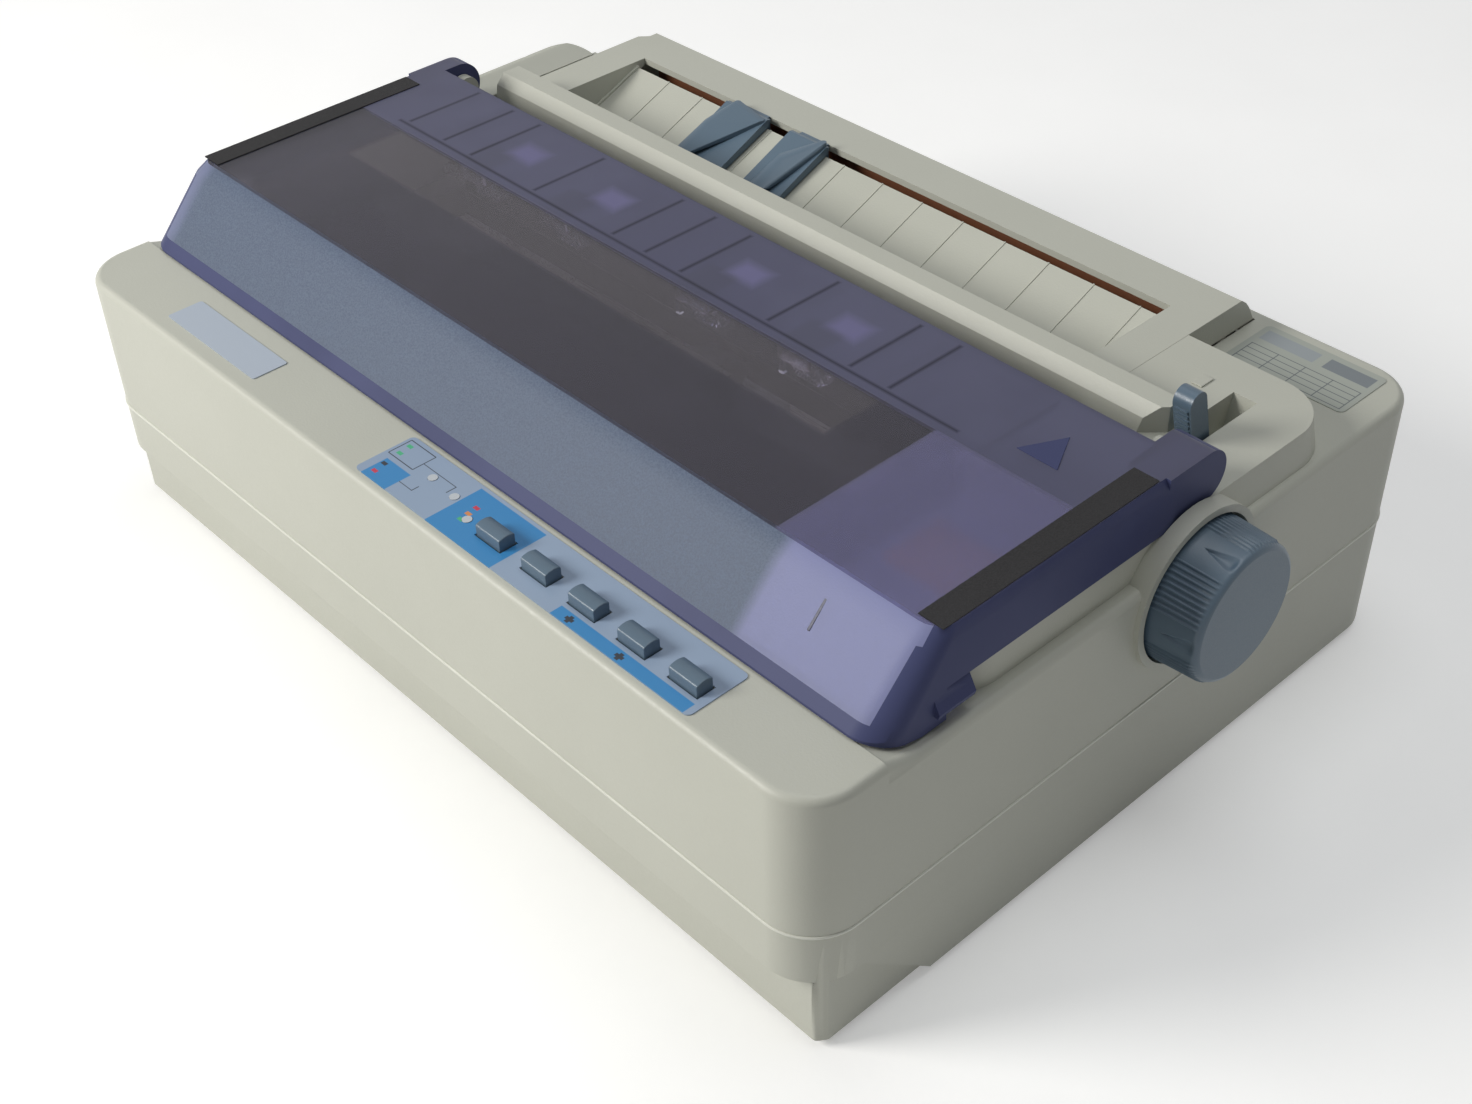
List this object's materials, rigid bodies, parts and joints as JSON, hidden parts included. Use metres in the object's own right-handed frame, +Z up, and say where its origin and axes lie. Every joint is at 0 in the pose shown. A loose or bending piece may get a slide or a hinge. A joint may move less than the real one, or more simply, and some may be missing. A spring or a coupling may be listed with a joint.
{
  "type": "dot matrix printer",
  "caption": "Desktop dot matrix printer with a smoked hinged lid, sheet guide cover, platen knob, release lever and push buttons over a full print mechanism",
  "frame": {"origin": "on the desk, under the centre of the box that holds the whole machine with its platen knob", "axes": "+X to the right when facing the control deck, +Y to the back, +Z up"},
  "size_m": [0.441, 0.312, 0.1414],
  "materials": {
    "case_plastic": "fine grained warm grey",
    "smoked_plastic": "translucent smoked violet, frosted",
    "clear_plastic": "clear",
    "blue_plastic": "blue-grey satin",
    "black_plastic": "satin black",
    "foam": "dull black",
    "rubber": "matt",
    "steel": "bright zinc",
    "copper_plate": "copper brown lacquer",
    "gear_plastic": "natural white",
    "dark_metal": "black lacquer",
    "brass": "turned",
    "circuit": "green board",
    "overlay_film": "printed film",
    "label_film": "satin film",
    "orange_label": "printed paper"
  },
  "bodies": {
    "case": {"lower_case": "case_plastic", "upper_case": "case_plastic", "feet": "rubber", "case_screws": "steel", "pivot_pins": "steel", "exit_bar": "case_plastic", "slot_plate": "copper_plate", "panel_overlay": "overlay_film", "status_lenses": "clear_plastic", "control_board": "circuit", "labels": "label_film", "inner_label": "orange_label", "chassis": "steel", "left_frame": "steel", "right_frame": "steel", "platen_bushes": "gear_plastic", "feed_motor": "dark_metal", "tractor_rod": "steel", "carriage_shaft": "steel", "carriage_belt": "foam", "carriage_motor": "dark_metal", "ribbon_cartridge": "black_plastic", "main_board": "circuit", "power_unit": "dark_metal", "rear_sockets": "black_plastic"},
    "lid": {"access_lid": "smoked_plastic", "lid_strips": "foam", "roller_holders": "clear_plastic"},
    "star_wheel_set": {"star_wheels": "clear_plastic"},
    "guide_cover": {"sheet_cover": "case_plastic"},
    "left_edge_guide": {"left_guide": "blue_plastic"},
    "right_edge_guide": {"right_guide": "blue_plastic"},
    "release": {"release_lever": "blue_plastic"},
    "push_1": {"button_1": "blue_plastic"},
    "push_2": {"button_2": "blue_plastic"},
    "push_3": {"button_3": "blue_plastic"},
    "push_4": {"button_4": "blue_plastic"},
    "push_5": {"button_5": "blue_plastic"},
    "platen": {"platen_roller": "rubber", "platen_shaft": "steel", "platen_gear": "gear_plastic", "platen_knob": "blue_plastic"},
    "idler": {"idler_gear": "gear_plastic"},
    "link": {"link_gear": "gear_plastic"},
    "pinion": {"feed_pinion": "brass"},
    "tractor_drive": {"tractor_gear": "gear_plastic", "tractor_shaft": "steel"},
    "tractor_left": {"left_tractor": "black_plastic"},
    "tractor_right": {"right_tractor": "black_plastic"},
    "wheel_left": {"left_pin_wheel": "gear_plastic"},
    "wheel_right": {"right_pin_wheel": "gear_plastic"},
    "flap_left": {"left_door": "black_plastic"},
    "flap_right": {"right_door": "black_plastic"},
    "head_carriage": {"carriage": "black_plastic", "print_head": "dark_metal", "card_guide": "clear_plastic"},
    "motor_pulley": {"drive_pulley": "gear_plastic"},
    "tail_pulley": {"idler_pulley": "gear_plastic"},
    "ribbon_winder": {"ribbon_knob": "black_plastic"},
    "rocker": {"power_switch": "black_plastic"}
  },
  "joints": [
    {"name": "lid_hinge", "type": "hinge", "parent": "case", "child": "lid", "pos_m": [-0.0105, 0.0285, 0.131], "axis": [-1, 0, 0], "range_deg": [0, 95]},
    {"name": "star_wheel_spin", "type": "hinge", "parent": "lid", "child": "star_wheel_set", "pos_m": [-0.0105, -0.012, 0.125], "axis": [1, 0, 0], "continuous": true},
    {"name": "cover_hinge", "type": "hinge", "parent": "case", "child": "guide_cover", "pos_m": [-0.0437, 0.143, 0.1102], "axis": [-1, 0, 0], "range_deg": [0, 95]},
    {"name": "left_guide_slide", "type": "slide", "parent": "guide_cover", "child": "left_edge_guide", "axis": [1, 0, 0], "range_m": [-0.05, 0]},
    {"name": "right_guide_slide", "type": "slide", "parent": "guide_cover", "child": "right_edge_guide", "axis": [1, 0, 0], "range_m": [0, 0.17]},
    {"name": "release_turn", "type": "hinge", "parent": "case", "child": "release", "pos_m": [0.1672, 0.068, 0.08], "axis": [-1, 0, 0], "range_deg": [0, 10]},
    {"name": "push_1_travel", "type": "slide", "parent": "case", "child": "push_1", "axis": [0, 0, -1], "range_m": [0, 0.0015], "stiffness_N_per_m": 200, "springref_m": -0.001},
    {"name": "push_2_travel", "type": "slide", "parent": "case", "child": "push_2", "axis": [0, 0, -1], "range_m": [0, 0.0015], "stiffness_N_per_m": 200, "springref_m": -0.001},
    {"name": "push_3_travel", "type": "slide", "parent": "case", "child": "push_3", "axis": [0, 0, -1], "range_m": [0, 0.0015], "stiffness_N_per_m": 200, "springref_m": -0.001},
    {"name": "push_4_travel", "type": "slide", "parent": "case", "child": "push_4", "axis": [0, 0, -1], "range_m": [0, 0.0015], "stiffness_N_per_m": 200, "springref_m": -0.001},
    {"name": "push_5_travel", "type": "slide", "parent": "case", "child": "push_5", "axis": [0, 0, -1], "range_m": [0, 0.0015], "stiffness_N_per_m": 200, "springref_m": -0.001},
    {"name": "platen_spin", "type": "hinge", "parent": "case", "child": "platen", "pos_m": [-0.0105, 0.021, 0.0934], "axis": [1, 0, 0], "continuous": true},
    {"name": "idler_spin", "type": "hinge", "parent": "case", "child": "idler", "pos_m": [0.1171, 0.0385, 0.06309], "axis": [1, 0, 0], "continuous": true},
    {"name": "link_spin", "type": "hinge", "parent": "case", "child": "link", "pos_m": [0.1171, 0.06438, 0.0554], "axis": [1, 0, 0], "continuous": true},
    {"name": "pinion_spin", "type": "hinge", "parent": "case", "child": "pinion", "pos_m": [0.1171, 0.03132, 0.04336], "axis": [1, 0, 0], "continuous": true},
    {"name": "tractor_spin", "type": "hinge", "parent": "case", "child": "tractor_drive", "pos_m": [-0.0105, 0.092, 0.06], "axis": [1, 0, 0], "continuous": true},
    {"name": "left_tractor_slide", "type": "slide", "parent": "case", "child": "tractor_left", "axis": [1, 0, 0], "range_m": [-0.02, 0.06]},
    {"name": "right_tractor_slide", "type": "slide", "parent": "case", "child": "tractor_right", "axis": [1, 0, 0], "range_m": [-0.15, 0.014]},
    {"name": "left_wheel_spin", "type": "hinge", "parent": "tractor_left", "child": "wheel_left", "pos_m": [-0.1498, 0.092, 0.06], "axis": [1, 0, 0], "continuous": true},
    {"name": "right_wheel_spin", "type": "hinge", "parent": "tractor_right", "child": "wheel_right", "pos_m": [0.0788, 0.092, 0.06], "axis": [1, 0, 0], "continuous": true},
    {"name": "left_flap_hinge", "type": "hinge", "parent": "tractor_left", "child": "flap_left", "pos_m": [-0.1628, 0.098, 0.0755], "axis": [0, -1, 0], "range_deg": [0, 95]},
    {"name": "right_flap_hinge", "type": "hinge", "parent": "tractor_right", "child": "flap_right", "pos_m": [0.0918, 0.098, 0.0755], "axis": [0, 1, 0], "range_deg": [0, 95]},
    {"name": "carriage_travel", "type": "slide", "parent": "case", "child": "head_carriage", "axis": [1, 0, 0], "range_m": [-0.137, 0.071]},
    {"name": "motor_pulley_spin", "type": "hinge", "parent": "case", "child": "motor_pulley", "pos_m": [-0.1625, -0.002, 0.046], "axis": [0, 0, 1], "range_deg": [-1200, 630]},
    {"name": "tail_pulley_spin", "type": "hinge", "parent": "case", "child": "tail_pulley", "pos_m": [0.0935, -0.002, 0.046], "axis": [0, 0, 1], "range_deg": [-1200, 630]},
    {"name": "ribbon_knob_spin", "type": "hinge", "parent": "case", "child": "ribbon_winder", "pos_m": [-0.1305, -0.07, 0.113], "axis": [0, 0, 1], "continuous": true},
    {"name": "rocker_tilt", "type": "hinge", "parent": "case", "child": "rocker", "pos_m": [0.0935, 0.15, 0.024], "axis": [1, 0, 0], "range_deg": [0, 10]}
  ],
  "couplings": [
    {"joint": "idler_spin", "follows": "platen_spin", "ratio": -1.3333},
    {"joint": "link_spin", "follows": "platen_spin", "ratio": 1.6667},
    {"joint": "pinion_spin", "follows": "platen_spin", "ratio": 3.3333},
    {"joint": "tractor_spin", "follows": "platen_spin", "ratio": -1.25},
    {"joint": "left_wheel_spin", "follows": "platen_spin", "ratio": -1.25},
    {"joint": "right_wheel_spin", "follows": "platen_spin", "ratio": -1.25},
    {"joint": "motor_pulley_spin", "follows": "carriage_travel", "rad_per_m": 149.25},
    {"joint": "tail_pulley_spin", "follows": "carriage_travel", "rad_per_m": 149.25}
  ]
}
